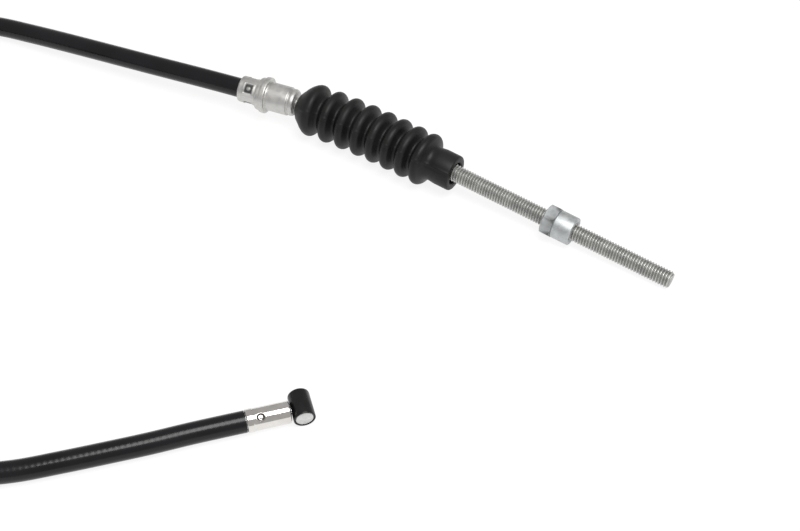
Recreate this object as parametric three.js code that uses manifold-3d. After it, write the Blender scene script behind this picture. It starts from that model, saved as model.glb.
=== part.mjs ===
// Rear brake cable of a small motorcycle or scooter, in millimetres, +Z up.
//
// The cable lies on a floor at Z = 0, seen from -Y. Both of its ends point to the right. The brake
// end is the far one, with its ferrule, rubber boot, threaded rod and nut. The lever end is the near
// one, with its ferrule and barrel nipple. The spare length is tied up in a coil on the left. The
// origin is on the floor, under the middle of the two ends.

import * as THREE from 'three';
import { mergeVertices } from 'three/addons/utils/BufferGeometryUtils.js';
import Module from 'manifold-3d';

const wasm = await Module();
wasm.setup();

// Driving dimensions, in millimetres and degrees

const GAP = 0.3; // clearance between pieces that fit in or on each other

// casing: plastic sheath over a steel spiral conduit
const SHEATH_D = 7.0;
const SHEATH_WALL = 0.7;
const CONDUIT_WALL = 1.2;
const WIRE_D = 2.0; // inner wire rope
const TRAVEL = 25; // how far the inner wire slides from end to end
const WIRE_IN_HEAD = 1.5; // modelled length of the wire inside the ferrule's head
const WIRE_SPARE = 3; // wire that stays in the conduit when the nipple is pulled out
const STRAIGHT_PAST_WIRE = 3; // straight casing beyond the modelled wire

// boot: bellows with a lip at the ferrule and a cuff on the rod
const BOOT_L = 63.3;
const BOOT_D = 18.8;
const BOOT_ROOT_D = 13.2;
const BOOT_WALL = 1.3;
const BOOT_LIP_T = 2.0;
const BOOT_LIP_D = 9.6;
const RIDGES = 8;
const RIDGE_PITCH = 6.45;
const RIDGE_FIRST = 6.15; // from the lip's face to the first crest
const DOME = [[0.2, 0.3], [0.55, 0.74]]; // shares of the way and the rise from the lip to that crest
const CREST_FLAT = 1.5;
const SHOULDER_DROP = 0.3; // share of the ridge's height lost at its shoulders
const CUFF_D = 12.6;
const CUFF_L = 8.1;

// brake end ferrule, turned in one piece
const SLEEVE_D = 9.4;
const SLEEVE_L = 6.8;
const COLLAR_D = 11.8;
const COLLAR_L = 1.9;
const FLANGE_D = 13.0;
const FLANGE_L = 2.0;
const BODY_D = 10.3;
const BODY_L = 8.2;
const GROOVE_D = 9.3;
const GROOVE_L = 0.7;
const NOSE_D = 7.6;
const NOSE_L = 2.5;
const NECK_D = 4.6;
const NECK_SEEN = 1.0; // bare neck between the nose and the boot
const HEAD_D = 6.8;
const HEAD_L = 2.6;
const EDGE = 0.6; // chamfer on turned edges
const STAKE_L = 3.3; // crimp marks along the sleeve
const STAKE_W = 3.6;
const STAKE_DEPTH = 0.35;
const STAKE_FROM_END = 4.0;
const STAKE_ANGLE = 37; // first mark, from straight up towards the front
const STAKES = 4;

// threaded rod and adjusting nut
const ROD_D = 6.0;
const ROD_SEEN = 82.3; // from the cuff's face to the tip
const ROD_INSIDE = 27; // hidden in the boot
const ROD_CHAMFER = 0.6;
const SOCKET_DEPTH = 12; // hole in the rod for the wire
const NUT_FROM_CUFF = 35.2;
const NUT_HEX_AF = 10;
const NUT_HEX_L = 4.0;
const NUT_ROUND_D = 10;
const NUT_ROUND_L = 6.8;
const NUT_ANGLE = 37; // one corner, from straight up towards the front

// lever end ferrule and barrel nipple
const TUBE_D = 7.2;
const TUBE_L = 13.7;
const TUBE_RIM_D = 7.5;
const TUBE_RIM_L = 2.0;
const TUBE_END_T = 2.0;
const DIMPLE_D = 2.8;
const DIMPLE_DEPTH = 0.45;
const DIMPLE_FROM_RIM = 4.3;
const DIMPLE_ANGLE = 35;
const BARREL_D = 7.0;
const BARREL_L = 9.9;
const BARREL_BACK = 1.0; // how far the barrel's middle lies behind the wire
const BARREL_SKIN = 0.6; // black sleeve round the metal barrel
const BARREL_ROUND = 1.0;
const NIPPLE_GAP = 0.3; // between the ferrule's mouth and the barrel

// how the two ends lie
const BOOT_AT = [-49.5, 62.3]; // the boot's lip, in plan
const BOOT_HEADING = -31.4;
const FERRULE_HEADING = -21.0;
const MOUTH_AT = [-48.5, -66.35]; // mouth of the lever ferrule, in plan
const LEVER_HEADING = 15.2;

// coil of spare length: three turns side by side, two high
const COIL_AT = [-209.8, 10.6];
const COIL_MID_R = 38.5;
const COIL_WIDE = 3;
const COIL_HIGH = 2;
const TIE_T = 0.8;
const TIE_W = 3.6;
const TIE_HEAD = [6.0, 5.0, 4.0];
const TIE_ANGLES = [60, 300];

// fineness of the round surfaces
const SIDES_BIG = 32;
const SIDES_SMALL = 24;
const SIDES_CORD = 12;
const SIDES_WIRE = 8;
const CORD_STEP = 14;

// Materials

function material(color, roughness, metalness) {
  return new THREE.MeshStandardMaterial({ color, roughness, metalness });
}

const sheathLook = material(0x17171a, 0.42, 0);
const steelLook = material(0x8e9092, 0.45, 0.9);
const zincLook = material(0xc9cccd, 0.38, 0.85);
const nickelLook = material(0xdedad4, 0.18, 1);
const rubberLook = material(0x1b1b1c, 0.62, 0);
const blackLook = material(0x19191a, 0.4, 0);
const castLook = material(0xb4b4b2, 0.5, 0.8);
const tieLook = material(0x101011, 0.5, 0);

// Helpers

const rad = THREE.MathUtils.degToRad;

function piece(name, geometry, look) {
  const mesh = new THREE.Mesh(geometry, look);
  mesh.name = name;
  return mesh;
}

// Turned shape: profile is a closed list of [distance along X, radius].
function turned(profile, sides) {
  const points = profile.map(([along, radius]) => new THREE.Vector2(radius, along));
  const lathe = new THREE.LatheGeometry(points, sides);
  lathe.rotateZ(-Math.PI / 2);
  return lathe;
}

// Tube section with a bore, as a shape of straight sides.
function ringShape(outer, bore, sides) {
  const circle = (radius) => {
    const list = [];
    for (let i = 0; i < sides; i += 1) {
      const angle = (2 * Math.PI * i) / sides;
      list.push(new THREE.Vector2(radius * Math.cos(angle), radius * Math.sin(angle)));
    }
    return list;
  };
  const shape = new THREE.Shape(circle(outer));
  if (bore > 0) {
    shape.holes.push(new THREE.Path(circle(bore)));
  }
  return shape;
}

function alongPath(shape, points, step) {
  const curve = new THREE.CatmullRomCurve3(points.map((p) => new THREE.Vector3(...p)), false, 'centripetal');
  const steps = Math.max(2, Math.round(curve.getLength() / step));
  return new THREE.ExtrudeGeometry(shape, { steps, extrudePath: curve, curveSegments: 1 });
}

function toSolid(geometry) {
  const bare = geometry.clone();
  bare.deleteAttribute('normal');
  bare.deleteAttribute('uv');
  const merged = mergeVertices(bare, 1e-4);
  return new wasm.Manifold(new wasm.Mesh({
    numProp: 3,
    vertProperties: new Float32Array(merged.attributes.position.array),
    triVerts: new Uint32Array(merged.index.array),
  }));
}

function toGeometry(solid) {
  const mesh = solid.getMesh();
  const geometry = new THREE.BufferGeometry();
  geometry.setAttribute('position', new THREE.BufferAttribute(new Float32Array(mesh.vertProperties), 3));
  geometry.setIndex(new THREE.BufferAttribute(new Uint32Array(mesh.triVerts), 1));
  return geometry;
}

// Turns a shape that stands on the X axis, so that its top leans towards the front (-Y).
function leanForward(geometry, degrees) {
  geometry.rotateX(rad(degrees));
  return geometry;
}

// Casing sizes that follow from the driving ones

const sheathR = SHEATH_D / 2;
const sheathBoreR = sheathR - SHEATH_WALL;
const conduitR = sheathBoreR - GAP;
const conduitBoreR = conduitR - CONDUIT_WALL;
const wireR = WIRE_D / 2;
const guideR = wireR + GAP; // bore that guides the wire

// Rubber boot, along +X from the lip's face

const lastCrest = RIDGE_FIRST + (RIDGES - 1) * RIDGE_PITCH;
const cuffStart = BOOT_L - CUFF_L;
const bootR = BOOT_D / 2;
const rootR = BOOT_ROOT_D / 2;
const lipR = BOOT_LIP_D / 2;
const cuffBoreR = ROD_D / 2 + GAP;
const lipBoreR = NECK_D / 2 + 2 * GAP;

// The rod leaves the boot's axis at the cuff and droops until its tip touches the floor.
const bendFrom = lastCrest + CREST_FLAT / 2;
const bendTo = BOOT_L - CUFF_L / 2;
const droopAt = (bendFrom + bendTo) / 2;
const rodTipAt = BOOT_L + ROD_SEEN;
const droop = Math.asin((bootR - ROD_D / 2) / (rodTipAt - droopAt));

function bootProfile() {
  const outer = [];
  const inner = [];
  for (let i = 0; i < RIDGES; i += 1) {
    const crest = RIDGE_FIRST + i * RIDGE_PITCH;
    const shoulder = RIDGE_PITCH / 4;
    const shoulderR = bootR - (bootR - rootR) * SHOULDER_DROP;
    if (i > 0) {
      outer.push([crest - shoulder, shoulderR]);
    }
    outer.push([crest - CREST_FLAT / 2, bootR]);
    outer.push([crest + CREST_FLAT / 2, bootR]);
    outer.push([crest + shoulder, shoulderR]);
    inner.push([crest, bootR - BOOT_WALL]);
    if (i < RIDGES - 1) {
      outer.push([crest + RIDGE_PITCH / 2, rootR]);
      inner.push([crest + RIDGE_PITCH / 2, rootR - BOOT_WALL]);
    }
  }
  return [
    [0, lipBoreR],
    [0, lipR],
    ...DOME.map(([way, rise]) => [RIDGE_FIRST * way, lipR + (bootR - lipR) * rise]),
    ...outer,
    [cuffStart, CUFF_D / 2 - EDGE],
    [cuffStart + EDGE, CUFF_D / 2],
    [BOOT_L - EDGE, CUFF_D / 2],
    [BOOT_L, CUFF_D / 2 - EDGE],
    [BOOT_L, cuffBoreR],
    [cuffStart + EDGE, cuffBoreR],
    [cuffStart, CUFF_D / 2 - EDGE - BOOT_WALL],
    ...inner.reverse(),
    [BOOT_LIP_T, rootR - BOOT_WALL],
    [BOOT_LIP_T, lipBoreR],
    [0, lipBoreR],
  ];
}

// Bends what lies past the last crest down by the rod's droop.
function droopGeometry(geometry) {
  const position = geometry.attributes.position;
  const slope = Math.tan(droop);
  for (let i = 0; i < position.count; i += 1) {
    const x = position.getX(i);
    let fall = 0;
    if (x > bendTo) {
      fall = slope * (x - droopAt);
    } else if (x > bendFrom) {
      fall = (slope * (x - bendFrom) ** 2) / (2 * (bendTo - bendFrom));
    }
    position.setZ(i, position.getZ(i) - fall);
  }
  return geometry;
}

const boot = piece('rubber_boot', droopGeometry(turned(bootProfile(), SIDES_BIG)), rubberLook);

// Brake end ferrule, along +X, with X = 0 in the middle of the boot's lip, where their axes cross

const ferruleTurn = rad(FERRULE_HEADING - BOOT_HEADING);
const lipMiddle = BOOT_LIP_T / 2;
const neckStart = -lipMiddle - NECK_SEEN;
const noseStart = neckStart - NOSE_L;
const grooveStart = noseStart - GROOVE_L;
const bodyStart = grooveStart - BODY_L;
const flangeStart = bodyStart - FLANGE_L;
const collarStart = flangeStart - COLLAR_L;
const sleeveStart = collarStart - SLEEVE_L;
const headStart = lipMiddle + GAP + (HEAD_D / 2) * Math.abs(Math.tan(ferruleTurn));
const headEnd = headStart + HEAD_L;
const pocketR = sheathR + GAP;
const pocketEnd = bodyStart; // the casing is seated as deep as the flange

function ferruleProfile() {
  return [
    [sleeveStart, pocketR],
    [sleeveStart, SLEEVE_D / 2 - EDGE / 2],
    [sleeveStart + EDGE, SLEEVE_D / 2],
    [collarStart, SLEEVE_D / 2],
    [collarStart + EDGE / 2, COLLAR_D / 2],
    [flangeStart, COLLAR_D / 2],
    [flangeStart + EDGE, FLANGE_D / 2],
    [bodyStart - GAP, FLANGE_D / 2],
    [bodyStart, FLANGE_D / 2 - GAP],
    [bodyStart, BODY_D / 2],
    [grooveStart, BODY_D / 2],
    [grooveStart, GROOVE_D / 2],
    [noseStart, GROOVE_D / 2],
    [noseStart, BODY_D / 2 - EDGE / 2],
    [noseStart + EDGE, BODY_D / 2 - EDGE / 2],
    [neckStart, NOSE_D / 2],
    [neckStart, NECK_D / 2],
    [headStart, NECK_D / 2],
    [headStart, HEAD_D / 2],
    [headEnd, NECK_D / 2],
    [headEnd, guideR],
    [pocketEnd, guideR],
    [pocketEnd, pocketR],
    [sleeveStart, pocketR],
  ];
}

function stakedFerrule() {
  let solid = toSolid(turned(ferruleProfile(), SIDES_BIG));
  const markTop = SLEEVE_D / 2 + 1;
  const markBottom = SLEEVE_D / 2 - STAKE_DEPTH;
  for (let i = 0; i < STAKES; i += 1) {
    const mark = new THREE.BoxGeometry(STAKE_L, STAKE_W, markTop - markBottom);
    mark.translate(sleeveStart + STAKE_FROM_END, 0, (markTop + markBottom) / 2);
    leanForward(mark, STAKE_ANGLE + (360 / STAKES) * i);
    solid = solid.subtract(toSolid(mark));
  }
  return toGeometry(solid);
}

const brakeFerrule = piece('brake_ferrule', stakedFerrule(), zincLook);

// Threaded rod, along +X from its inner end. The thread itself is too fine for this model.

const rodL = ROD_SEEN + ROD_INSIDE;
const rodR = ROD_D / 2;

const rod = piece('threaded_rod', turned([
  [SOCKET_DEPTH, 0],
  [SOCKET_DEPTH, guideR],
  [0, guideR],
  [0, rodR - ROD_CHAMFER],
  [ROD_CHAMFER, rodR],
  [rodL - ROD_CHAMFER, rodR],
  [rodL, rodR - ROD_CHAMFER],
  [rodL, 0],
], SIDES_SMALL), zincLook);

// Adjusting nut: a hexagon towards the boot and a round collar towards the tip

function nutGeometry() {
  const hexR = NUT_HEX_AF / 2 / Math.cos(Math.PI / 6);
  const hex = new THREE.CylinderGeometry(hexR, hexR, NUT_HEX_L, 6);
  hex.rotateZ(-Math.PI / 2);
  hex.translate(NUT_HEX_L / 2, 0, 0);
  leanForward(hex, NUT_ANGLE);
  const nutL = NUT_HEX_L + NUT_ROUND_L;
  const collar = turned([
    [EDGE, 0],
    [EDGE, NUT_ROUND_D / 2],
    [nutL - EDGE, NUT_ROUND_D / 2],
    [nutL, NUT_ROUND_D / 2 - EDGE],
    [nutL, 0],
  ], SIDES_BIG);
  const hole = turned([
    [-1, 0],
    [-1, rodR + GAP],
    [nutL + 1, rodR + GAP],
    [nutL + 1, 0],
  ], SIDES_SMALL);
  return toGeometry(toSolid(hex).add(toSolid(collar)).subtract(toSolid(hole)));
}

const nut = piece('adjuster_nut', nutGeometry(), zincLook);
nut.position.x = ROD_INSIDE + NUT_FROM_CUFF;

const rodGroup = new THREE.Group();
rodGroup.position.set(droopAt, 0, 0);
rodGroup.rotation.y = droop;
rod.position.x = (BOOT_L - ROD_INSIDE - droopAt) / Math.cos(droop);
nut.position.x += rod.position.x;
rodGroup.add(rod, nut);

// Inner wire in the boot, from the ferrule's head to the rod's socket

const wireStart = headEnd - WIRE_IN_HEAD;
const rodInnerX = BOOT_L - ROD_INSIDE;

function onFerruleAxis(distance) {
  return [lipMiddle + distance * Math.cos(ferruleTurn), distance * Math.sin(ferruleTurn), 0];
}

function onRodAxis(x) {
  return [x, 0, (droopAt - x) * Math.tan(droop)];
}

const brakeWire = piece('inner_wire_brake_end', alongPath(ringShape(wireR, 0, SIDES_WIRE), [
  onFerruleAxis(wireStart),
  onFerruleAxis(headEnd),
  onFerruleAxis(headEnd + WIRE_D),
  onRodAxis(rodInnerX - 2 * WIRE_D),
  onRodAxis(rodInnerX),
  onRodAxis(rodInnerX + SOCKET_DEPTH - 2 * WIRE_D),
], WIRE_D * 2), steelLook);

const ferruleGroup = new THREE.Group();
ferruleGroup.position.x = lipMiddle;
ferruleGroup.rotation.z = ferruleTurn;
ferruleGroup.add(brakeFerrule);

const brakeEnd = new THREE.Group();
brakeEnd.position.set(BOOT_AT[0], BOOT_AT[1], bootR);
brakeEnd.rotation.z = rad(BOOT_HEADING);
brakeEnd.add(boot, rodGroup, brakeWire, ferruleGroup);

// Lever end, along +X with X = 0 at the ferrule's mouth

const tubeR = TUBE_D / 2;
const tubeStart = -TUBE_L;
const leverHeight = TUBE_RIM_D / 2;

function leverFerrule() {
  const tube = turned([
    [tubeStart, conduitR + GAP],
    [tubeStart, TUBE_RIM_D / 2],
    [tubeStart + TUBE_RIM_L, TUBE_RIM_D / 2],
    [tubeStart + TUBE_RIM_L + GAP, tubeR],
    [-EDGE / 2, tubeR],
    [0, tubeR - EDGE / 2],
    [0, guideR],
    [-TUBE_END_T, guideR],
    [-TUBE_END_T, conduitR + GAP],
    [tubeStart, conduitR + GAP],
  ], SIDES_SMALL);
  const ballR = (DIMPLE_D / 2) ** 2 / (2 * DIMPLE_DEPTH) + DIMPLE_DEPTH / 2;
  const ball = new THREE.SphereGeometry(ballR, 20, 14);
  ball.translate(tubeStart + DIMPLE_FROM_RIM, 0, tubeR - DIMPLE_DEPTH + ballR);
  leanForward(ball, DIMPLE_ANGLE);
  return toGeometry(toSolid(tube).subtract(toSolid(ball)));
}

const leverTube = piece('lever_ferrule', leverFerrule(), nickelLook);

// Barrel nipple: a metal barrel that lies across the wire, in a black sleeve that is open in front

const barrelR = BARREL_D / 2;
const barrelAt = NIPPLE_GAP + barrelR;
const barrelFront = BARREL_BACK - BARREL_L / 2;
const barrelEnd = BARREL_BACK + BARREL_L / 2;
const coreR = barrelR - BARREL_SKIN;
const leverWireStart = -TRAVEL - WIRE_SPARE;
const leverWireEnd = barrelAt + wireR;

// Hole across the barrel, from the ferrule's side to just past the wire's end.
function wireHole() {
  const hole = turned([
    [0, 0],
    [0, guideR],
    [leverWireEnd + GAP, guideR],
    [leverWireEnd + GAP, 0],
  ], SIDES_CORD);
  return toSolid(hole);
}

// Turned about the barrel's own axis, which points to the back (+Y).
function acrossWire(profile) {
  const shape = turned(profile, SIDES_SMALL);
  shape.rotateZ(Math.PI / 2);
  shape.translate(barrelAt, 0, 0);
  return shape;
}

function barrelCore() {
  const back = barrelEnd - BARREL_SKIN - GAP;
  const core = acrossWire([
    [barrelFront, 0],
    [barrelFront, coreR - GAP],
    [back, coreR - GAP],
    [back, 0],
  ]);
  return toGeometry(toSolid(core).subtract(wireHole()));
}

function barrelSleeve() {
  const sleeve = acrossWire([
    [barrelEnd - BARREL_SKIN, 0],
    [barrelEnd - BARREL_SKIN, coreR],
    [barrelFront, coreR],
    [barrelFront, barrelR - GAP],
    [barrelFront + GAP, barrelR],
    [barrelEnd - BARREL_ROUND, barrelR],
    [barrelEnd - BARREL_ROUND * 0.3, barrelR - BARREL_ROUND * 0.3],
    [barrelEnd, barrelR - BARREL_ROUND],
    [barrelEnd, 0],
  ]);
  return toGeometry(toSolid(sleeve).subtract(wireHole()));
}

const core = piece('barrel_nipple', barrelCore(), castLook);
const sleeve = piece('barrel_sleeve', barrelSleeve(), blackLook);

const leverWire = piece('inner_wire_lever_end', turned([
  [leverWireStart, 0],
  [leverWireStart, wireR],
  [leverWireEnd, wireR],
  [leverWireEnd, 0],
], SIDES_CORD), steelLook);

const leverEnd = new THREE.Group();
leverEnd.position.set(MOUTH_AT[0], MOUTH_AT[1], leverHeight);
leverEnd.rotation.z = rad(LEVER_HEADING);
leverEnd.add(leverTube, core, sleeve, leverWire);

// Casing between the ends: the chosen route of each run, from its ferrule to the coil

const bootHeading = rad(BOOT_HEADING);
const ferruleHeading = rad(FERRULE_HEADING);
const leverHeading = rad(LEVER_HEADING);

function behindBoot(distance) {
  return [
    BOOT_AT[0] + lipMiddle * Math.cos(bootHeading) + distance * Math.cos(ferruleHeading),
    BOOT_AT[1] + lipMiddle * Math.sin(bootHeading) + distance * Math.sin(ferruleHeading),
    bootR,
  ];
}

function behindMouth(distance) {
  return [
    MOUTH_AT[0] + distance * Math.cos(leverHeading),
    MOUTH_AT[1] + distance * Math.sin(leverHeading),
    leverHeight,
  ];
}

const BRAKE_RUN = [
  [-82.8, 74.85, 9.35],
  [-94.0, 79.2, 9.05],
  [-105.3, 83.8, 8.5],
  [-116.8, 88.7, 7.8],
  [-128.5, 93.85, 6.9],
  [-140.3, 99.0, 6.0],
  [-152.2, 104.0, 5.1],
  [-163.8, 108.5, 4.4],
  [-176.4, 111.5, 3.9],
  [-189.4, 111.3, 3.7],
  [-201.9, 107.8, 4.2],
  [-213.2, 101.4, 5.5],
  [-222.5, 92.4, 7.4],
  [-229.3, 81.4, 9.4],
  [-234.4, 69.4, 10.9],
  [-241.65, 52.1, 11.6],
];

const LEVER_RUN = [
  [-90.7, -78.1, 3.7],
  [-103.8, -81.6, 3.7],
  [-117.1, -85.0, 3.7],
  [-130.6, -88.1, 3.7],
  [-143.5, -89.3, 3.7],
  [-156.4, -88.5, 3.7],
  [-169.0, -85.4, 3.7],
  [-180.8, -79.9, 3.8],
  [-191.4, -72.4, 3.9],
  [-200.7, -63.3, 4.1],
  [-209.8, -54.1, 4.3],
  [-223.9, -39.8, 4.6],
];

const conduitShape = ringShape(conduitR, conduitBoreR, SIDES_CORD);
const sheathShape = ringShape(sheathR, sheathBoreR, SIDES_CORD);

function run(inside, edge, points, name, look, shape) {
  return piece(name, alongPath(shape, [...inside, edge, ...points], CORD_STEP), look);
}

const seat = pocketEnd - GAP;
const brakeSheath = run([behindBoot(seat)], behindBoot(sleeveStart), BRAKE_RUN,
  'casing_brake_run', sheathLook, sheathShape);
const brakeConduit = run([behindBoot(seat)], behindBoot(sleeveStart), BRAKE_RUN,
  'conduit_brake_run', steelLook, conduitShape);

const straight = behindMouth(leverWireStart - STRAIGHT_PAST_WIRE);
const leverSheath = run([behindMouth(tubeStart - GAP)], straight, LEVER_RUN,
  'casing_lever_run', sheathLook, sheathShape);
const leverConduit = run([behindMouth(-TUBE_END_T - GAP), behindMouth(tubeStart - GAP)], straight, LEVER_RUN,
  'conduit_lever_run', steelLook, conduitShape);

// Coil, as one ring of the turns' outer shape, resting on its two ties

const coilHalf = (COIL_WIDE * SHEATH_D) / 2;
const coilHeight = COIL_HIGH * SHEATH_D;
const coilBottom = TIE_T + GAP;
const coilInner = COIL_MID_R - coilHalf;
const coilOuter = COIL_MID_R + coilHalf;
const coilEdge = sheathR * (1 - Math.SQRT1_2) * 2;

const coil = piece('casing_coil', turned([
  [0, coilInner + coilEdge],
  [0, coilOuter - coilEdge],
  [coilEdge, coilOuter],
  [coilHeight - coilEdge, coilOuter],
  [coilHeight, coilOuter - coilEdge],
  [coilHeight, coilInner + coilEdge],
  [coilHeight - coilEdge, coilInner],
  [coilEdge, coilInner],
  [0, coilInner + coilEdge],
], SIDES_BIG * 2).rotateY(-Math.PI / 2), sheathLook);
coil.position.z = coilBottom;

function rectangle(x0, y0, x1, y1) {
  return [
    new THREE.Vector2(x0, y0),
    new THREE.Vector2(x1, y0),
    new THREE.Vector2(x1, y1),
    new THREE.Vector2(x0, y1),
  ];
}

// One tie: a flat band round all the turns, with its lock head on the top.
function tieGeometry() {
  const innerX0 = coilInner - GAP;
  const innerX1 = coilOuter + GAP;
  const innerY1 = coilBottom + coilHeight + GAP;
  const frame = new THREE.Shape(rectangle(innerX0 - TIE_T, 0, innerX1 + TIE_T, innerY1 + TIE_T));
  frame.holes.push(new THREE.Path(rectangle(innerX0, TIE_T, innerX1, innerY1)));
  const band = new THREE.ExtrudeGeometry(frame, { depth: TIE_W, bevelEnabled: false });
  band.translate(0, 0, -TIE_W / 2);
  const head = new THREE.BoxGeometry(TIE_HEAD[0], TIE_HEAD[2], TIE_HEAD[1]);
  head.translate(innerX1 + TIE_T - TIE_HEAD[0] / 2, innerY1 + TIE_HEAD[2] / 2, 0);
  const solid = toSolid(band).add(toSolid(head));
  return toGeometry(solid).rotateX(Math.PI / 2);
}

const ties = TIE_ANGLES.map((angle, i) => {
  const tie = piece(`coil_tie_${i + 1}`, tieGeometry(), tieLook);
  tie.rotation.z = rad(angle);
  return tie;
});

const coilGroup = new THREE.Group();
coilGroup.position.set(COIL_AT[0], COIL_AT[1], 0);
coilGroup.add(coil, ...ties);

const group = new THREE.Group();
group.add(brakeEnd, leverEnd, brakeSheath, brakeConduit, leverSheath, leverConduit, coilGroup);

export default group;
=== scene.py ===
import math

import bmesh
import bpy
from mathutils import Matrix, Vector


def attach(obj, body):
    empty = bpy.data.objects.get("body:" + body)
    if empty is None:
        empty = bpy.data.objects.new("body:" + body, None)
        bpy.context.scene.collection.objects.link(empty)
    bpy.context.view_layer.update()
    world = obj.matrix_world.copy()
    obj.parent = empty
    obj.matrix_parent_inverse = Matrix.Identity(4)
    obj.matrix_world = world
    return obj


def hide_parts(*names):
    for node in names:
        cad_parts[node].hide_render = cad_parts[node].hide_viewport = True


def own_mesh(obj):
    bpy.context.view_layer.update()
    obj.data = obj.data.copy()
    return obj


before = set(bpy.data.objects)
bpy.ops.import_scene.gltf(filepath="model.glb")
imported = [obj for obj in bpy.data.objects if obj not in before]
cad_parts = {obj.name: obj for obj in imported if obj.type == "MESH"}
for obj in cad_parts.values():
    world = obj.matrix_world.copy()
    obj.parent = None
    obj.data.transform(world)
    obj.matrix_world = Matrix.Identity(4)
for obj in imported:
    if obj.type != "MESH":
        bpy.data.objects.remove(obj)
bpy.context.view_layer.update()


# Camera, table and light.
# The camera looks down at 50 degrees, square to the table's long side. One large soft box hangs over the
# right half of the white table, as the highlights of the casing show, and the pale room fills the rest.

VIEW_CENTRE = Vector((-0.0146, -0.0044, 0.0))
VIEW_ELEVATION = math.radians(50.0)
VIEW_DISTANCE = 0.5667
FOCAL_PIXELS = 1700.0
PICTURE_WIDTH = 800.0

camera_data = bpy.data.cameras.new("product_camera")
camera_data.sensor_width = 36.0
camera_data.lens = camera_data.sensor_width * FOCAL_PIXELS / PICTURE_WIDTH
camera_data.clip_start = 0.01
camera = bpy.data.objects.new("product_camera", camera_data)
bpy.context.collection.objects.link(camera)
camera.location = VIEW_CENTRE + VIEW_DISTANCE * Vector((0.0, -math.cos(VIEW_ELEVATION), math.sin(VIEW_ELEVATION)))
camera.rotation_euler = (math.pi / 2 - VIEW_ELEVATION, 0.0, 0.0)
bpy.context.scene.camera = camera
bpy.context.scene.view_settings.view_transform = "Standard"


def new_material(name):
    material = bpy.data.materials.new(name)
    material.use_nodes = True
    return material, material.node_tree, material.node_tree.nodes["Principled BSDF"]


def math_node(tree, operation, first, second=None):
    node = tree.nodes.new("ShaderNodeMath")
    node.operation = operation
    for socket, value in zip(node.inputs, (first, second)):
        if isinstance(value, (int, float)):
            socket.default_value = value
        elif value is not None:
            tree.links.new(value, socket)
    return node.outputs[0]


def mix_colours(tree, mask, first, second):
    node = tree.nodes.new("ShaderNodeMix")
    node.data_type = "RGBA"
    for socket, colour in ((node.inputs["A"], first), (node.inputs["B"], second)):
        if isinstance(colour, tuple):
            socket.default_value = (*colour, 1.0)
        else:
            tree.links.new(colour, socket)
    tree.links.new(mask, node.inputs["Factor"])
    return node.outputs["Result"]


def finish_mesh(bm, name, material, sharp_degrees=35.0):
    bmesh.ops.remove_doubles(bm, verts=bm.verts, dist=1e-6)
    bmesh.ops.recalc_face_normals(bm, faces=bm.faces)
    mesh = bpy.data.meshes.new(name)
    bm.to_mesh(mesh)
    bm.free()
    mesh.shade_smooth()
    mesh.set_sharp_from_angle(angle=math.radians(sharp_degrees))
    mesh.materials.append(material)
    made = bpy.data.objects.new(name, mesh)
    bpy.context.collection.objects.link(made)
    return made


table_white, tree, shader = new_material("table_white")
shader.inputs["Roughness"].default_value = 0.9
shader.inputs["Specular IOR Level"].default_value = 0.0
shader.inputs["Emission Color"].default_value = (1.0, 1.0, 1.0, 1.0)
light_path = tree.nodes.new("ShaderNodeLightPath")
seen = math_node(tree, "MAXIMUM", light_path.outputs["Is Camera Ray"], light_path.outputs["Is Glossy Ray"])
paint = mix_colours(tree, seen, (0.86, 0.86, 0.86), (0.18, 0.18, 0.18))
tree.links.new(paint, shader.inputs["Base Color"])
tree.links.new(math_node(tree, "MULTIPLY", seen, 0.86), shader.inputs["Emission Strength"])

bm = bmesh.new()
bmesh.ops.create_grid(bm, x_segments=1, y_segments=1, size=2.5)
finish_mesh(bm, "table", table_white)

world = bpy.context.scene.world or bpy.data.worlds.new("pale_room")
bpy.context.scene.world = world
world.use_nodes = True
background = world.node_tree.nodes["Background"]
background.inputs["Color"].default_value = (1.0, 0.99, 0.98, 1.0)
background.inputs["Strength"].default_value = 0.48


def soft_box(name, place, towards, wide, deep, watts):
    data = bpy.data.lights.new(name, "AREA")
    data.shape = "RECTANGLE"
    data.size = wide
    data.size_y = deep
    data.energy = watts
    lamp = bpy.data.objects.new(name, data)
    bpy.context.collection.objects.link(lamp)
    lamp.location = place
    lamp.rotation_euler = (Vector(towards) - Vector(place)).to_track_quat("-Z", "Y").to_euler()


soft_box("overhead_box", (0.14, -0.20, 0.75), (0.14, -0.20, 0.0), 0.50, 0.44, 5.0)


# Casing.
# Black plastic sheath, 7 mm thick, extruded over a steel spiral whose turns show through as fine ripples. It
# runs in one length from the brake ferrule to the lever ferrule, and its middle lies in turns on the left.

MM = 0.001
CASING_R = 3.5 * MM
BRAKE_HEADING = -21.0
LEVER_HEADING = 15.2
SLEEVE_END = -24.1
CASING_SEAT = -13.7
CUP_START = -13.7
RIPPLE_PITCH = 1.8 * MM
LIP_MIDDLE = Vector((-48.6465, 61.7790, 9.4)) * MM
LEVER_MOUTH = Vector((-48.5, -66.35, 3.75)) * MM
BRAKE_ROUTE = [
    (-82.8, 74.85, 9.35), (-94.0, 79.2, 9.05), (-105.3, 83.8, 8.5), (-116.8, 88.7, 7.8),
    (-128.5, 93.85, 6.9), (-140.3, 99.0, 6.0), (-152.2, 104.0, 5.1), (-163.8, 108.4, 4.4),
    (-176.4, 111.15, 3.9), (-189.4, 110.95, 3.7), (-201.9, 107.8, 4.2), (-213.2, 101.4, 5.5),
    (-222.5, 92.4, 7.4), (-229.3, 81.4, 9.4), (-234.4, 69.4, 10.9), (-241.65, 52.1, 11.6),
]
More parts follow.
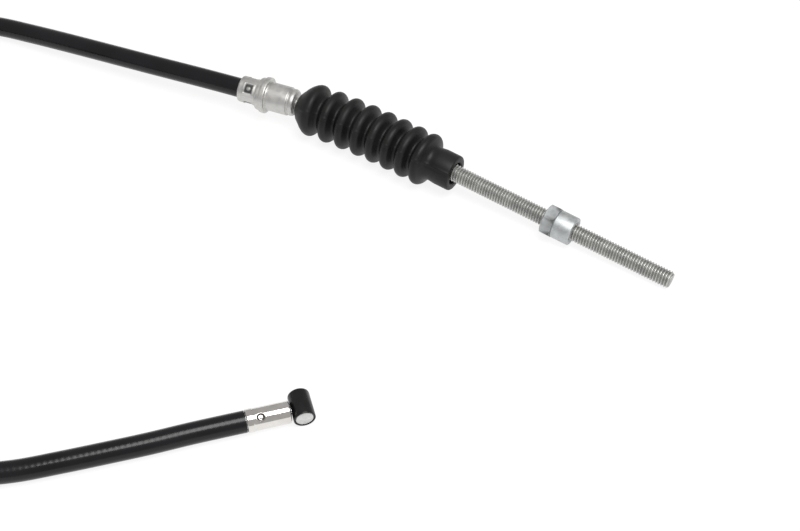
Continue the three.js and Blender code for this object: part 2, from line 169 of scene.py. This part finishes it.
LEVER_ROUTE = [
    (-90.7, -78.1, 3.7), (-103.8, -81.6, 3.7), (-117.1, -85.0, 3.7), (-130.6, -88.1, 3.7),
    (-143.5, -89.3, 3.7), (-156.4, -88.5, 3.7), (-169.0, -85.4, 3.7), (-180.8, -79.9, 3.8),
    (-191.4, -72.4, 3.9), (-200.7, -63.3, 4.1), (-209.8, -54.1, 4.3), (-223.9, -39.8, 4.6),
]
COIL_CENTRE = (-209.8, 10.6)
COIL_IN = 157.14
COIL_OUT = 224.66 + 5 * 360.0
OUTER, MIDDLE, INNER = 45.5, 38.5, 31.5
TOP, BOTTOM = 11.6, 4.6
STEP_OVER = 108.0

# The turns start on top at the outside, go in, down and out again. Each step starts at this angle:
coil_steps = [
    (369.0, OUTER, TOP, MIDDLE, TOP),
    (693.0, MIDDLE, TOP, INNER, TOP),
    (1017.0, INNER, TOP, INNER, BOTTOM),
    (1341.0, INNER, BOTTOM, MIDDLE, BOTTOM),
    (1665.0, MIDDLE, BOTTOM, OUTER, BOTTOM),
]


def heading(degrees):
    return Vector((math.cos(math.radians(degrees)), math.sin(math.radians(degrees)), 0.0))


def smooth_between(value, start, end):
    share = min(1.0, max(0.0, (value - start) / (end - start)))
    return share * share * (3 - 2 * share)


def coil_point(angle):
    radius, height = OUTER, TOP
    for start, r0, z0, r1, z1 in coil_steps:
        if angle > start:
            share = smooth_between(angle, start, start + STEP_OVER)
            radius = r0 + (r1 - r0) * share
            height = z0 + (z1 - z0) * share
    out = heading(angle) * radius
    return Vector((COIL_CENTRE[0] + out.x, COIL_CENTRE[1] + out.y, height)) * MM


# A smooth line through the points, cut into short steps.
def smooth_line(points, step):
    line = []
    for i in range(len(points) - 1):
        p1, p2 = points[i], points[i + 1]
        p0 = points[i - 1] if i > 0 else p1 + (p1 - p2)
        p3 = points[i + 2] if i + 2 < len(points) else p2 + (p2 - p1)
        t1 = (p1 - p0).length ** 0.5
        t2 = t1 + (p2 - p1).length ** 0.5
        t3 = t2 + (p3 - p2).length ** 0.5
        pieces = max(1, round((p2 - p1).length / step))
        for k in range(pieces):
            t = t1 + (t2 - t1) * k / pieces
            a1 = p0.lerp(p1, t / t1)
            a2 = p1.lerp(p2, (t - t1) / (t2 - t1))
            a3 = p2.lerp(p3, (t - t2) / (t3 - t2))
            b1 = a1.lerp(a2, t / t2)
            b2 = a2.lerp(a3, (t - t1) / (t3 - t1))
            line.append(b1.lerp(b2, (t - t1) / (t2 - t1)))
    return line + [points[-1].copy()]


# Each point of the line with its direction, its upward side and its distance from the start.
def stations(line):
    side = Vector((0.0, 0.0, 1.0))
    travelled = 0.0
    for i, point in enumerate(line):
        ahead = (line[min(i + 1, len(line) - 1)] - line[max(i - 1, 0)]).normalized()
        side = (side - ahead * side.dot(ahead)).normalized()
        travelled += (point - line[i - 1]).length if i > 0 else 0.0
        yield point, ahead, side, travelled


# A round tube along the line. Its surface keeps its distance along the line, for patterns that follow it.
def add_tube(bm, line, radius, sides):
    along = bm.verts.layers.float.get("along") or bm.verts.layers.float.new("along")
    start = bmesh.ops.create_circle(bm, cap_ends=False, segments=sides, radius=radius)["verts"]
    shape = [vert.co.copy() for vert in start]
    ring = start
    for i, (point, ahead, side, travelled) in enumerate(stations(line)):
        if i > 0:
            edges = [bm.edges.get((a, b)) for a, b in zip(ring, ring[1:] + ring[:1])]
            grown = bmesh.ops.extrude_edge_only(bm, edges=edges)["geom"]
            fresh = [item for item in grown if isinstance(item, bmesh.types.BMVert)]
            order = {}
            for vert in fresh:
                for edge in vert.link_edges:
                    other = edge.other_vert(vert)
                    if other not in fresh:
                        order[other] = vert
            ring = [order[vert] for vert in ring]
        other_side = ahead.cross(side)
        for vert, place in zip(ring, shape):
            vert.co = point + side * place.x + other_side * place.y
            vert[along] = travelled
        if i == 0:
            bmesh.ops.contextual_create(bm, geom=start)
    bmesh.ops.contextual_create(bm, geom=ring)


# Unevenness of a finish: coarse and fine noise on the piece's own coordinates.
def make_unevenness():
    group = bpy.data.node_groups.new("unevenness", "ShaderNodeTree")
    sockets = group.interface
    sockets.new_socket("Vector", in_out="INPUT", socket_type="NodeSocketVector")
    sockets.new_socket("Coarse Scale", in_out="INPUT", socket_type="NodeSocketFloat")
    sockets.new_socket("Fine Scale", in_out="INPUT", socket_type="NodeSocketFloat")
    sockets.new_socket("Coarse", in_out="OUTPUT", socket_type="NodeSocketFloat")
    sockets.new_socket("Fine", in_out="OUTPUT", socket_type="NodeSocketFloat")
    inside = group.nodes.new("NodeGroupInput")
    outside = group.nodes.new("NodeGroupOutput")
    for output, scale, detail in (("Coarse", "Coarse Scale", 4.0), ("Fine", "Fine Scale", 2.0)):
        noise = group.nodes.new("ShaderNodeTexNoise")
        noise.inputs["Detail"].default_value = detail
        group.links.new(inside.outputs["Vector"], noise.inputs["Vector"])
        group.links.new(inside.outputs[scale], noise.inputs["Scale"])
        group.links.new(noise.outputs["Fac"], outside.inputs[output])
    return group


unevenness = make_unevenness()


def spread(tree, source, low, high, mask_low=0.3, mask_high=0.7):
    node = tree.nodes.new("ShaderNodeMapRange")
    node.inputs["From Min"].default_value = mask_low
    node.inputs["From Max"].default_value = mask_high
    node.inputs["To Min"].default_value = low
    node.inputs["To Max"].default_value = high
    tree.links.new(source, node.inputs["Value"])
    return node.outputs["Result"]


def bump(tree, height, distance, strength):
    node = tree.nodes.new("ShaderNodeBump")
    node.inputs["Distance"].default_value = distance
    node.inputs["Strength"].default_value = strength
    tree.links.new(height, node.inputs["Height"])
    return node.outputs["Normal"]


def attribute(tree, name):
    node = tree.nodes.new("ShaderNodeAttribute")
    node.attribute_name = name
    return node.outputs["Fac"]


# A finish whose colour and roughness drift between two values, with a fine relief.
def uneven_finish(name, dark, light, rough, metallic, coarse_scale, fine_scale, relief):
    material, tree, shader = new_material(name)
    coordinates = tree.nodes.new("ShaderNodeTexCoord")
    grain = tree.nodes.new("ShaderNodeGroup")
    grain.node_tree = unevenness
    grain.inputs["Coarse Scale"].default_value = coarse_scale
    grain.inputs["Fine Scale"].default_value = fine_scale
    tree.links.new(coordinates.outputs["Object"], grain.inputs["Vector"])
    drift = spread(tree, grain.outputs["Coarse"], 0.0, 1.0)
    tree.links.new(mix_colours(tree, drift, dark, light), shader.inputs["Base Color"])
    tree.links.new(spread(tree, grain.outputs["Coarse"], *rough), shader.inputs["Roughness"])
    tree.links.new(bump(tree, grain.outputs["Fine"], relief, 0.35), shader.inputs["Normal"])
    shader.inputs["Metallic"].default_value = metallic
    return material, tree, shader


# Puts another bump under the finish's own fine relief.
def add_relief(tree, shader, height, distance, strength):
    fine = shader.inputs["Normal"].links[0].from_node
    tree.links.new(bump(tree, height, distance, strength), fine.inputs["Normal"])


# Paints shade into a finish where the mask is 1: its colour darkens and it dulls.
def add_painted_shade(tree, shader, mask, colour, roughness):
    unshaded_colour = shader.inputs["Base Color"].links[0].from_socket
    tree.links.new(mix_colours(tree, mask, unshaded_colour, colour), shader.inputs["Base Color"])
    smooth = shader.inputs["Roughness"].links[0].from_socket
    change = math_node(tree, "MULTIPLY", mask, roughness)
    tree.links.new(math_node(tree, "ADD", smooth, change), shader.inputs["Roughness"])


sheath_black, tree, shader = uneven_finish(
    "sheath_black", (0.003, 0.003, 0.004), (0.007, 0.007, 0.009), (0.20, 0.28), 0.0, 60.0, 2600.0, 0.00001
)
shader.inputs["Specular IOR Level"].default_value = 0.35
wave = math_node(tree, "SINE", math_node(tree, "MULTIPLY", attribute(tree, "along"), 2 * math.pi / RIPPLE_PITCH))
add_relief(tree, shader, spread(tree, wave, 0.0, 1.0, -1.0, 1.0), 0.00003, 0.4)

brake_ahead = heading(BRAKE_HEADING)
lever_ahead = heading(LEVER_HEADING)
casing_points = [LIP_MIDDLE + brake_ahead * (CASING_SEAT * MM), LIP_MIDDLE + brake_ahead * (SLEEVE_END * MM)]
casing_points += [Vector(p) * MM for p in BRAKE_ROUTE]
coil_count = round((COIL_OUT - COIL_IN) / 10.0)
casing_points += [coil_point(COIL_IN + (COIL_OUT - COIL_IN) * k / coil_count) for k in range(coil_count + 1)]
casing_points += [Vector(p) * MM for p in reversed(LEVER_ROUTE)]
casing_points += [LEVER_MOUTH - lever_ahead * (31.0 * MM), LEVER_MOUTH + lever_ahead * ((CUP_START - 0.3) * MM)]
casing_line = smooth_line(casing_points, 2.5 * MM)
bm = bmesh.new()
add_tube(bm, casing_line, CASING_R, 24)
casing = finish_mesh(bm, "casing", sheath_black, 60.0)
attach(casing, "casing")
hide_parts("casing_brake_run", "casing_coil", "casing_lever_run")


# Ties.
# Two nylon cable ties of 3.6 mm, pulled round all the turns of the coil. Each has its lock head on top.

TIE_THICK = 0.8 * MM
TIE_WIDE = 3.6 * MM
TIE_INNER, TIE_OUTER, TIE_HIGH = 27.7 * MM, 49.3 * MM, 15.4 * MM
TIE_CORNER = 2.6 * MM
TIE_ANGLES = (60.0, 300.0)

tie_black, tree, shader = uneven_finish(
    "tie_black", (0.006, 0.006, 0.006), (0.012, 0.012, 0.012), (0.36, 0.48), 0.0, 200.0, 5000.0, 0.00002
)


def build_tie(name, node, degrees):
    bm = bmesh.new()
    bmesh.ops.create_cube(bm, size=1.0)
    bmesh.ops.scale(bm, verts=bm.verts, vec=(TIE_OUTER - TIE_INNER, TIE_WIDE, TIE_HIGH - TIE_THICK))
    bmesh.ops.translate(bm, verts=bm.verts, vec=((TIE_OUTER + TIE_INNER) / 2, 0.0, (TIE_HIGH + TIE_THICK) / 2))
    ends = [face for face in bm.faces if abs(face.normal.y) > 0.5]
    bmesh.ops.delete(bm, geom=ends, context="FACES_ONLY")
    corners = [edge for edge in bm.edges if abs((edge.verts[0].co - edge.verts[1].co).y) > TIE_WIDE / 2]
    bmesh.ops.bevel(bm, geom=corners, offset=TIE_CORNER, segments=6, profile=0.5, affect="EDGES", material=-1)
    bmesh.ops.recalc_face_normals(bm, faces=bm.faces)
    bmesh.ops.solidify(bm, geom=bm.faces[:], thickness=-TIE_THICK)
    head = bmesh.ops.create_cube(bm, size=1.0)["verts"]
    bmesh.ops.scale(bm, verts=head, vec=(6.0 * MM, 5.0 * MM, 3.9 * MM))
    bmesh.ops.translate(bm, verts=head, vec=(47.0 * MM, 0.0, 17.4 * MM))
    head_edges = list({edge for vert in head for edge in vert.link_edges})
    bmesh.ops.bevel(bm, geom=head_edges, offset=0.6 * MM, segments=3, profile=0.5, affect="EDGES", material=-1)
    turn = Matrix.Rotation(math.radians(degrees), 4, "Z")
    place = Matrix.Translation((COIL_CENTRE[0] * MM, COIL_CENTRE[1] * MM, 0.0))
    bmesh.ops.transform(bm, matrix=place @ turn, verts=bm.verts)
    tie = finish_mesh(bm, name, tie_black)
    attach(tie, "casing")
    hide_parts(node)
    return tie


ties = [build_tie("tie_1", "coil_tie_1", TIE_ANGLES[0]), build_tie("tie_2", "coil_tie_2", TIE_ANGLES[1])]


# Brake end ferrule.
# One turned and zinc-plated steel piece: a sleeve crimped on the casing, a collar and a flange that seat in
# the bracket, a round body, a groove and a nose, and a thin neck that holds the boot.

FERRULE_PROFILE = [
    (-24.1, 3.85), (-24.1, 4.35), (-23.95, 4.58), (-23.7, 4.7), (-17.45, 4.7), (-17.3, 4.75), (-17.2, 5.2),
    (-16.95, 5.65), (-16.6, 5.86), (-16.2, 5.9), (-15.6, 5.9), (-15.4, 5.95), (-15.3, 6.3), (-15.1, 6.46),
    (-14.8, 6.5), (-13.75, 6.5), (-13.5, 6.42), (-13.4, 6.2), (-13.4, 5.3), (-13.2, 5.17), (-12.9, 5.15),
    (-5.5, 5.15), (-5.28, 5.08), (-5.2, 4.9), (-5.18, 4.68), (-4.9, 4.6), (-4.6, 4.65), (-4.45, 4.8),
    (-4.15, 4.88), (-3.6, 4.84), (-3.15, 4.68), (-2.85, 4.4), (-2.75, 4.1), (-2.75, 2.5), (-2.6, 2.3),
    (1.9, 2.3), (1.92, 3.3), (2.1, 3.4), (4.5, 2.3), (4.52, 1.3), (-13.4, 1.3), (-13.4, 3.85),
]
STAKE_PLACE = -20.1
STAKE_ANGLES = (37.0, 127.0, 217.0, 307.0)


# A turned piece: the profile lists distance along X and radius, in millimetres, and is closed by itself.
def turned(profile, steps, finest=None):
    bm = bmesh.new()
    verts = []
    for (x0, r0), (x1, r1) in zip(profile, profile[1:] + profile[:1]):
        pieces = 1 if finest is None else max(1, math.ceil(math.hypot(x1 - x0, r1 - r0) / finest))
        for k in range(pieces):
            verts.append(bm.verts.new(Vector((x0, 0.0, r0)).lerp(Vector((x1, 0.0, r1)), k / pieces) * MM))
    edges = [bm.edges.new(pair) for pair in zip(verts, verts[1:] + verts[:1])]
    bmesh.ops.spin(
        bm, geom=verts + edges, cent=(0, 0, 0), axis=(1, 0, 0), angle=2 * math.pi, steps=steps, use_merge=True
    )
    bmesh.ops.remove_doubles(bm, verts=bm.verts, dist=1e-7)
    return bm


def aim(degrees, place, droop=0.0):
    turn = Matrix.Rotation(math.radians(degrees), 4, "Z")
    return Matrix.Translation(place) @ turn @ Matrix.Rotation(math.radians(droop), 4, "Y")


def radius_of(co):
    return math.hypot(co.y, co.z) / MM


# Distance round the X axis from a line at this angle, which counts from straight up towards the front.
def across_from(co, middle):
    angle = math.degrees(math.atan2(-co.y, co.z))
    return math.radians((angle - middle + 180.0) % 360.0 - 180.0) * radius_of(co)


def grow(co, amount):
    scale = 1.0 + amount / radius_of(co)
    co.y *= scale
    co.z *= scale


bm = turned(FERRULE_PROFILE, 144, 0.3)
painted_stake_shade = bm.verts.layers.float.new("painted_stake_shade")
for vert in bm.verts:
    if radius_of(vert.co) < 4.3 or vert.co.x > -17.4 * MM:
        continue
    for middle in STAKE_ANGLES:
        across = across_from(vert.co, middle)
        along = vert.co.x / MM - STAKE_PLACE
        edge = max(abs(along) - 1.6, abs(across) - 1.8)
        if edge < 1.0:
            sunk = smooth_between(-edge, -0.05, 0.3)
            burr = math.exp(-(((edge - 0.3) / 0.22) ** 2))
            middle_rise = smooth_between(1.0 - math.hypot(along, across), 0.0, 0.6)
            vert[painted_stake_shade] = max(0.0, sunk - 0.75 * middle_rise)
            grow(vert.co, -0.34 * sunk + 0.12 * burr + 0.2 * middle_rise)
bmesh.ops.transform(bm, matrix=aim(BRAKE_HEADING, LIP_MIDDLE), verts=bm.verts)

ferrule_zinc, tree, shader = uneven_finish(
    "ferrule_zinc", (0.52, 0.52, 0.51), (0.68, 0.67, 0.65), (0.40, 0.54), 0.9, 420.0, 3200.0, 0.00003
)
# Painted shade: the stake pits are darkened, less so on their raised middles.
add_painted_shade(tree, shader, attribute(tree, "painted_stake_shade"), (0.10, 0.10, 0.10), 0.2)

ferrule = finish_mesh(bm, "ferrule", ferrule_zinc)
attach(ferrule, "casing")
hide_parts("brake_ferrule")


# Rubber boot.
# Moulded bellows of matt black rubber. Its domed end sits on the ferrule's neck and its cuff on the rod. The
# mould's parting line runs along its front. It clears the rod's inner end.

BOOT_PLACE = Vector((-49.5, 62.3, 9.4)) * MM
BOOT_HEADING = -31.4
BOOT_LENGTH = 63.3
ROD_DROOP = 4.0801
BEND_FROM, BEND_TO = 52.05, 59.25
RIDGE_FIRST = 6.15
RIDGE_PITCHES = (6.95, 6.7, 6.55, 6.35, 6.25, 6.2, 6.15)
CREST_R, LOBE_R, ROOT_R = 9.4, 1.85, 6.4
CREST_WALL, ROOT_WALL = 1.3, 0.5
PARTING_ANGLE = 51.0

crests = [RIDGE_FIRST]
for pitch in RIDGE_PITCHES:
    crests.append(crests[-1] + pitch)
boot_outer = [(0.0, 2.9), (0.0, 4.2), (0.12, 4.6), (0.5, 5.1), (1.3, 6.0), (2.2, 7.0), (3.3, 8.05), (4.5, 8.9), (5.4, 9.3)]
boot_inner = []
for i, crest in enumerate(crests):
    for degrees in range(0 if i == 0 else -78, 79, 13):
        turn = math.radians(degrees)
        boot_outer.append((crest + LOBE_R * math.sin(turn), CREST_R - LOBE_R + LOBE_R * math.cos(turn)))
    boot_inner.append((crest, CREST_R - CREST_WALL))
    if i < len(crests) - 1:
        root = (crest + crests[i + 1]) / 2
        boot_outer += [(root + dx, ROOT_R + dr) for dx, dr in ((-0.7, 0.45), (-0.35, 0.1), (0.0, 0.0), (0.35, 0.1), (0.7, 0.45))]
        boot_inner.append((root, ROOT_R - ROOT_WALL))
boot_outer += [(53.75, 6.7), (54.3, 6.25), (54.9, 6.05), (55.6, 6.05), (56.6, 6.2), (57.6, 6.3), (62.6, 6.3), (63.0, 6.2)]
boot_outer += [(63.22, 6.0), (63.3, 5.7), (63.3, 4.3), (63.0, 4.0), (61.0, 3.8)]
boot_inner += [(55.2, 4.6), (56.0, 3.6)]
boot_profile = boot_outer + boot_inner[::-1] + [(2.0, 5.0), (2.0, 2.9)]


# How far the boot's middle line lies to the back, and how steeply it turns there.
def bow(x):
    along = min(1.0, max(0.0, (x - 2.0) / 52.0)) * math.pi
    inside = 2.0 < x < 54.0
    return -0.25 + 1.05 * math.sin(along), (1.05 * math.pi / 52.0 * math.cos(along) if inside else 0.0)


# How far what lies past the last ridge droops to the rod.
def droop_of(x):
    slope = math.tan(math.radians(ROD_DROOP))
    if x > BEND_TO:
        return slope * (x - (BEND_FROM + BEND_TO) / 2)
    return slope * max(0.0, x - BEND_FROM) ** 2 / (2 * (BEND_TO - BEND_FROM))


bm = turned(boot_profile, 180)
for vert in bm.verts:
    if radius_of(vert.co) > 4.5:
        seam = sum(math.exp(-((across_from(vert.co, PARTING_ANGLE + half) / 0.4) ** 2)) for half in (0.0, 180.0))
        grow(vert.co, 0.16 * seam)
    x = vert.co.x / MM
    aside, turn = bow(x)
    vert.co.x -= vert.co.y * turn
    vert.co.y += aside * MM
    vert.co.z -= droop_of(x) * MM
bmesh.ops.transform(bm, matrix=aim(BOOT_HEADING, BOOT_PLACE), verts=bm.verts)

boot_rubber, tree, shader = uneven_finish(
    "boot_rubber", (0.005, 0.005, 0.005), (0.011, 0.011, 0.011), (0.40, 0.54), 0.0, 140.0, 2400.0, 0.00004
)
shader.inputs["Specular IOR Level"].default_value = 0.3

boot = finish_mesh(bm, "boot", boot_rubber)
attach(boot, "casing")
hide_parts("rubber_boot")
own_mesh(boot)


# Threaded rod.
# Steel rod with a rolled thread of 6 mm, one turn to each millimetre, and a dull zinc plate. The inner wire
# is pressed into its hidden end. It slides with the wire, and its tip rests on the table.

DROOP_AT = (BEND_FROM + BEND_TO) / 2
ROD_START = (BOOT_LENGTH - 27.0 - DROOP_AT) / math.cos(math.radians(ROD_DROOP))
ROD_LENGTH = 109.3
THREAD_CREST, THREAD_ROOT = 3.0, 2.46
THREAD_PITCH = 1.0
THREAD_STEPS = 24
rod_frame = aim(BOOT_HEADING, BOOT_PLACE + heading(BOOT_HEADING) * (DROOP_AT * MM), ROD_DROOP)

bm = bmesh.new()
thread_section = [(0.0, THREAD_ROOT), (0.12, THREAD_ROOT), (0.44, THREAD_CREST), (0.60, THREAD_CREST), (1.0, THREAD_ROOT)]
verts = [bm.verts.new(((x - 1.0) * MM, 0.0, r * MM)) for x, r in thread_section]
edges = [bm.edges.new(pair) for pair in zip(verts, verts[1:])]
thread_turns = int(ROD_LENGTH) + 2
bmesh.ops.spin(
    bm, geom=verts + edges, cent=(0, 0, 0), axis=(1, 0, 0), dvec=(THREAD_PITCH * MM / THREAD_STEPS, 0, 0),
    angle=2 * math.pi * thread_turns, steps=THREAD_STEPS * thread_turns,
)
bmesh.ops.remove_doubles(bm, verts=bm.verts, dist=2e-6)
for at, outwards in ((0.0, -1.0), (ROD_LENGTH, 1.0)):
    everything = bm.verts[:] + bm.edges[:] + bm.faces[:]
    bmesh.ops.bisect_plane(bm, geom=everything, plane_co=(at * MM, 0, 0), plane_no=(outwards, 0, 0), clear_outer=True)
depth = bm.verts.layers.float.new("depth")
for vert in bm.verts:
    radius = radius_of(vert.co)
    vert[depth] = max(0.0, (THREAD_CREST - radius) / (THREAD_CREST - THREAD_ROOT))
    limit = 2.4 + max(0.0, min(vert.co.x / MM, ROD_LENGTH - vert.co.x / MM))
    if radius > limit:
        grow(vert.co, limit - radius)
bmesh.ops.holes_fill(bm, edges=[edge for edge in bm.edges if edge.is_boundary], sides=0)
bmesh.ops.transform(bm, matrix=rod_frame @ Matrix.Translation((ROD_START * MM, 0, 0)), verts=bm.verts)

rod_zinc, tree, shader = uneven_finish(
    "rod_zinc", (0.46, 0.46, 0.45), (0.62, 0.62, 0.60), (0.36, 0.50), 0.85, 300.0, 3600.0, 0.00002
)
# Painted shade: the thread's roots darken with their depth.
add_painted_shade(tree, shader, spread(tree, attribute(tree, "depth"), 0.0, 0.5, 0.2, 1.0), (0.16, 0.16, 0.15), 0.15)

rod = finish_mesh(bm, "rod", rod_zinc)
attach(rod, "brake_rod")
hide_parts("threaded_rod")


# Adjusting nut.
# Zinc-plated nut for a 10 mm spanner: a hexagon towards the boot and a round collar towards the tip. It
# runs along the rod's thread and sets how soon the brake bites.

NUT_START = ROD_START + 27.0 + 35.2
HEX_FLAT = 5.0
NUT_CORNER = 37.0
NUT_PROFILE = [
    (0.0, 3.7), (0.0, 4.85), (0.12, 5.02), (0.62, 5.8), (3.62, 5.8), (4.0, 5.15), (4.02, 4.9), (4.1, 4.82),
    (4.2, 4.84), (4.35, 4.97), (10.25, 4.97), (10.55, 4.88), (10.72, 4.68), (10.8, 4.4), (10.8, 3.9),
    (10.75, 3.8), (10.2, 3.25), (0.5, 3.25),
]

bm = turned(NUT_PROFILE, 96)
painted_notch_shade = bm.verts.layers.float.new("painted_notch_shade")
for k in range(6):
    flat = math.radians(NUT_CORNER + 30.0 + 60.0 * k)
    outwards = Vector((0.0, -math.sin(flat), math.cos(flat)))
    parts = set()
    for face in bm.faces:
        if all(vert.co.x < 4.03 * MM and radius_of(vert.co) > 4.5 for vert in face.verts):
            parts.update((face, *face.edges, *face.verts))
    bmesh.ops.bisect_plane(
        bm, geom=list(parts), plane_co=outwards * (HEX_FLAT * MM), plane_no=outwards, clear_outer=True, dist=1e-7
    )
    bmesh.ops.holes_fill(bm, edges=[edge for edge in bm.edges if edge.is_boundary], sides=0)
# Painted shadow at the hexagon's corners where they step down to the groove, and half as much in the groove.
for vert in bm.verts:
    if 3.3 < vert.co.x / MM < 4.12 and radius_of(vert.co) > 4.7:
        vert[painted_notch_shade] = smooth_between(radius_of(vert.co), 4.9, 5.5) if vert.co.x < 4.01 * MM else 0.5
bmesh.ops.transform(bm, matrix=rod_frame @ Matrix.Translation((NUT_START * MM, 0, 0)), verts=bm.verts)

nut_zinc, tree, shader = uneven_finish(
    "nut_zinc", (0.42, 0.44, 0.45), (0.60, 0.62, 0.62), (0.44, 0.58), 0.9, 500.0, 3600.0, 0.00003
)
# The nut's painted shadow at its corners and groove.
add_painted_shade(tree, shader, attribute(tree, "painted_notch_shade"), (0.14, 0.14, 0.14), 0.15)

nut = finish_mesh(bm, "nut", nut_zinc)
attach(nut, "nut")
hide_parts("adjuster_nut")


# Inner wire.
# Galvanised steel rope of 2 mm, eight strands laid round a core. It runs through the whole casing. At one
# end it is pressed into the rod inside the boot, and at the other it goes into the barrel.

WIRE_R = 1.0
STRAND_R = 0.29
STRAND_COUNT = 8
STRAND_TURN = 13.0

wire_steel, tree, shader = uneven_finish(
    "wire_steel", (0.56, 0.57, 0.58), (0.74, 0.75, 0.76), (0.24, 0.38), 0.9, 500.0, 4000.0, 0.00001
)


def build_rope(points, name):
    bm = bmesh.new()
    line = smooth_line(points, 0.5 * MM)
    add_tube(bm, line, (WIRE_R - STRAND_R) * MM, 12)
    for k in range(STRAND_COUNT):
        strand = []
        for point, ahead, side, travelled in stations(line):
            turn = 2 * math.pi * (travelled / (STRAND_TURN * MM) + k / STRAND_COUNT)
            out = math.cos(turn) * side + math.sin(turn) * ahead.cross(side)
            strand.append(point + (WIRE_R - STRAND_R) * MM * out)
        add_tube(bm, strand, STRAND_R * MM, 8)
    return finish_mesh(bm, name, wire_steel, 60.0)


wire_points = [LIP_MIDDLE + brake_ahead * (d * MM) for d in (3.024, 4.524, 6.524)]
wire_points += [rod_frame @ Vector(((ROD_START + d) * MM, 0.0, 0.0)) for d in (-4.0, 0.0, 8.0)]
brake_wire = build_rope(wire_points, "wire_at_brake")
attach(brake_wire, "casing")
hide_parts("inner_wire_brake_end")
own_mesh(brake_wire)

lever_wire = build_rope([LEVER_MOUTH + lever_ahead * (d * MM) for d in (-28.0, -20.0, -10.0, 0.0, 4.8)], "wire_at_lever")
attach(lever_wire, "nipple")
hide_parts("inner_wire_lever_end")


# Lever end ferrule.
# A thin drawn brass cup, nickel-plated bright, with a thicker rim at the casing. One round dimple stakes it
# to the casing, and the wire leaves through the hole in its end.

CUP_PROFILE = [
    (-13.7, 3.6), (-13.65, 3.68), (-13.5, 3.75), (-11.8, 3.75), (-11.65, 3.71), (-11.55, 3.62), (-11.4, 3.6),
    (-0.6, 3.6), (-0.3, 3.54), (-0.1, 3.36), (0.0, 3.1), (0.0, 1.45), (-0.15, 1.3), (-1.9, 1.3), (-2.0, 1.5),
    (-2.0, 3.5), (-13.7, 3.5),
]
DIMPLE_PLACE = -9.4
DIMPLE_ANGLE = 30.0

bm = turned(CUP_PROFILE, 144, 0.2)
ring = bm.verts.layers.float.new("ring")
for vert in bm.verts:
    if radius_of(vert.co) > 3.4:
        away = math.hypot(vert.co.x / MM - DIMPLE_PLACE, across_from(vert.co, DIMPLE_ANGLE))
        if away < 2.2:
            vert[ring] = math.exp(-(((away - 1.05) / 0.4) ** 2))
            grow(vert.co, -0.35 * (1.0 - smooth_between(away, 0.7, 1.35)))
bmesh.ops.transform(bm, matrix=aim(LEVER_HEADING, LEVER_MOUTH), verts=bm.verts)

cup_nickel, tree, shader = uneven_finish(
    "cup_nickel", (0.66, 0.64, 0.61), (0.78, 0.76, 0.73), (0.07, 0.12), 1.0, 260.0, 3000.0, 0.000005
)
# Painted shade on the dimple's sloping wall.
add_painted_shade(tree, shader, attribute(tree, "ring"), (0.07, 0.06, 0.06), 0.2)

cup = finish_mesh(bm, "cup", cup_nickel)
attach(cup, "casing")
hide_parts("lever_ferrule")


# Barrel nipple.
# A die-cast metal barrel on the wire's end, lying across it, in a black plastic sleeve. The sleeve is
# rounded at the back, and at the front the metal's end face is bare.

BARREL_AHEAD = 3.8
BARREL_PROFILE = [(-3.87, 0.0), (-3.87, 2.62), (-3.81, 2.74), (-3.65, 2.84), (-3.45, 2.88), (5.0, 2.88), (5.0, 0.0)]
COVER_PROFILE = [
    (-3.6, 2.9), (-3.83, 2.98), (-3.93, 3.12), (-3.95, 3.25), (-3.92, 3.38), (-3.81, 3.47), (-3.65, 3.5),
    (4.95, 3.5), (5.25, 3.46), (5.57, 3.3), (5.78, 3.06), (5.91, 2.78), (5.95, 2.5), (5.95, 0.0), (5.3, 0.0),
    (5.3, 2.9),
]


# Turned about the barrel's axis, which points to the back.
def across_wire(profile):
    bm = turned(profile, 96)
    quarter = Matrix.Translation((BARREL_AHEAD * MM, 0, 0)) @ Matrix.Rotation(math.pi / 2, 4, "Z")
    bmesh.ops.transform(bm, matrix=aim(LEVER_HEADING, LEVER_MOUTH) @ quarter, verts=bm.verts)
    return bm


barrel_metal, tree, shader = uneven_finish(
    "barrel_metal", (0.58, 0.58, 0.57), (0.74, 0.74, 0.73), (0.40, 0.54), 0.85, 500.0, 4200.0, 0.00002
)
cover_black, tree, shader = uneven_finish(
    "cover_black", (0.004, 0.004, 0.004), (0.008, 0.008, 0.008), (0.22, 0.32), 0.0, 300.0, 3000.0, 0.00001
)
shader.inputs["Specular IOR Level"].default_value = 0.35
barrel = finish_mesh(across_wire(BARREL_PROFILE), "barrel", barrel_metal)
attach(barrel, "nipple")
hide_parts("barrel_nipple")
cover = finish_mesh(across_wire(COVER_PROFILE), "cover", cover_black)
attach(cover, "nipple")
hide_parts("barrel_sleeve")


# Steel spiral inside the sheath.
# A steel strip wound into a tight spiral, which keeps the solid model's shape. The sheath hides all of it.

spiral_steel, tree, shader = uneven_finish(
    "spiral_steel", (0.50, 0.51, 0.52), (0.66, 0.67, 0.68), (0.32, 0.46), 0.9, 300.0, 4000.0, 0.00002
)
for node in ("conduit_brake_run", "conduit_lever_run"):
    conduit = bpy.data.objects[node]
    conduit.data.materials.clear()
    conduit.data.materials.append(spiral_steel)
